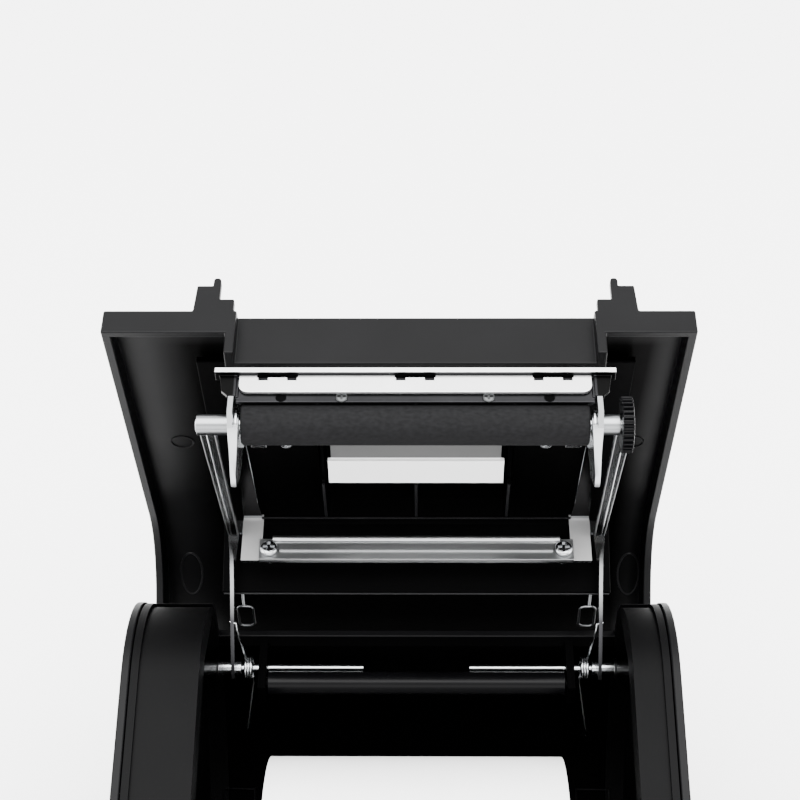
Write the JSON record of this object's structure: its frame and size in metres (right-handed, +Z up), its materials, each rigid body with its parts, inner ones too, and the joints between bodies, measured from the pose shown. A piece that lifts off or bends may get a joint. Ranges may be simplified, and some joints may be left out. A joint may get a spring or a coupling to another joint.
{
  "type": "receipt printer",
  "caption": "Desktop thermal receipt printer with its lid standing open, a platen on the lid, a paper bin with a roll, a cutter and a front cover.",
  "frame": {"origin": "middle of the footprint of the open printer, at the plane its feet stand on", "axes": "+Z up, -Y towards the front where the paper comes out, +X to the right-hand side"},
  "size_m": [0.1466, 0.2038, 0.216],
  "materials": {
    "housing": "fine spark texture",
    "inner_plastic": "smooth matt",
    "gloss_black": "semi-gloss",
    "natural_plastic": "natural acetal",
    "steel": "bright nickel plate",
    "dark_steel": "dark zinc",
    "aluminium": "extruded",
    "brass": "machined",
    "rubber": "ground",
    "paper": "thermal paper",
    "label": "blank",
    "cardboard": "wound",
    "board": "solder resist",
    "ceramic": "glazed",
    "lens": "smoked clear"
  },
  "bodies": {
    "base": {"base_shell": "housing", "paper_bin": "inner_plastic", "cheek_left": "inner_plastic", "cheek_right": "inner_plastic", "bottom_plate": "housing", "foot_front_left": "rubber", "foot_front_right": "rubber", "foot_rear_left": "rubber", "foot_rear_right": "rubber", "front_cover": "housing", "tear_bar": "steel", "status_lens": "lens", "hinge_pin_left": "steel", "hinge_pin_right": "steel", "torsion_spring_left": "steel", "torsion_spring_right": "steel", "paper_guide_bar": "gloss_black", "head_pivot_rod": "steel", "head_spring": "steel", "side_frame_left": "steel", "side_frame_right": "steel", "stepper_motor": "dark_steel", "cutter_tray": "steel", "cutter_motor": "dark_steel", "circuit_board": "board", "power_switch_body": "gloss_black", "power_socket": "gloss_black", "usb_socket": "steel", "network_socket": "steel", "drawer_socket": "gloss_black"},
    "lid": {"lid_shell": "housing", "lid_liner": "inner_plastic", "label_plate": "label", "platen_frame": "steel", "cross_rail": "steel", "rail_screw_left": "steel", "rail_screw_right": "steel", "knife_holder": "dark_steel", "fixed_knife": "steel", "bushing_left": "steel", "bushing_right": "steel"},
    "platen": {"platen_roller": "rubber", "platen_shaft": "steel", "platen_gear": "gloss_black"},
    "head": {"print_head": "ceramic", "heat_sink": "aluminium"},
    "reduction": {"reduction_gear": "natural_plastic"},
    "pinion": {"motor_pinion": "steel"},
    "blade": {"cutter_blade": "steel"},
    "blade_drive": {"cutter_pinion": "brass"},
    "latch": {"latch_bar": "steel"},
    "release": {"release_button": "gloss_black"},
    "feed": {"feed_button": "gloss_black"},
    "rocker": {"power_rocker": "gloss_black"},
    "roll": {"paper_roll": "paper", "roll_core": "cardboard"}
  },
  "joints": [
    {"name": "lid_hinge", "type": "hinge", "parent": "base", "child": "lid", "pos_m": [0.004, 0.0568, 0.095], "axis": [1, 0, 0], "range_deg": [0, 90]},
    {"name": "platen_spin", "type": "hinge", "parent": "lid", "child": "platen", "pos_m": [0.004, 0.054, 0.2075], "axis": [1, 0, 0], "continuous": true},
    {"name": "head_tilt", "type": "hinge", "parent": "base", "child": "head", "pos_m": [0.004, -0.0642, 0.0816], "axis": [1, 0, 0], "range_deg": [0, 2], "stiffness_Nm_per_rad": 2, "springref_deg": -1.15},
    {"name": "gear_spin", "type": "hinge", "parent": "base", "child": "reduction", "pos_m": [0.056, -0.0632, 0.0847], "axis": [1, 0, 0], "continuous": true},
    {"name": "motor_spin", "type": "hinge", "parent": "base", "child": "pinion", "pos_m": [0.056, -0.0712, 0.06857], "axis": [1, 0, 0], "continuous": true},
    {"name": "blade_slide", "type": "slide", "parent": "base", "child": "blade", "axis": [0, 1, 0], "range_m": [0, 0.009]},
    {"name": "blade_drive_spin", "type": "hinge", "parent": "base", "child": "blade_drive", "pos_m": [0.0348, -0.0847, 0.107], "axis": [0, 0, 1], "range_deg": [-110, 0]},
    {"name": "latch_turn", "type": "hinge", "parent": "base", "child": "latch", "pos_m": [0.004, -0.0792, 0.051], "axis": [1, 0, 0], "range_deg": [0, 6], "stiffness_Nm_per_rad": 0.5, "springref_deg": -5.73},
    {"name": "release_press", "type": "slide", "parent": "base", "child": "release", "axis": [0, 0, -1], "range_m": [0, 0.0015]},
    {"name": "feed_press", "type": "slide", "parent": "base", "child": "feed", "axis": [0, 1, 0], "range_m": [0, 0.0007], "stiffness_N_per_m": 300, "springref_m": -0.002},
    {"name": "power_rock", "type": "hinge", "parent": "base", "child": "rocker", "pos_m": [-0.0545, 0.0628, 0.018], "axis": [1, 0, 0], "range_deg": [0, 12]},
    {"name": "roll_spin", "type": "hinge", "parent": "base", "child": "roll", "pos_m": [0.004, -0.006, 0.075], "axis": [1, 0, 0], "continuous": true}
  ],
  "couplings": [
    {"joint": "motor_spin", "follows": "gear_spin", "ratio": -5},
    {"joint": "blade_drive_spin", "follows": "blade_slide", "rad_per_m": -208.33},
    {"joint": "release_press", "follows": "latch_turn", "m_per_rad": 0.0138}
  ]
}
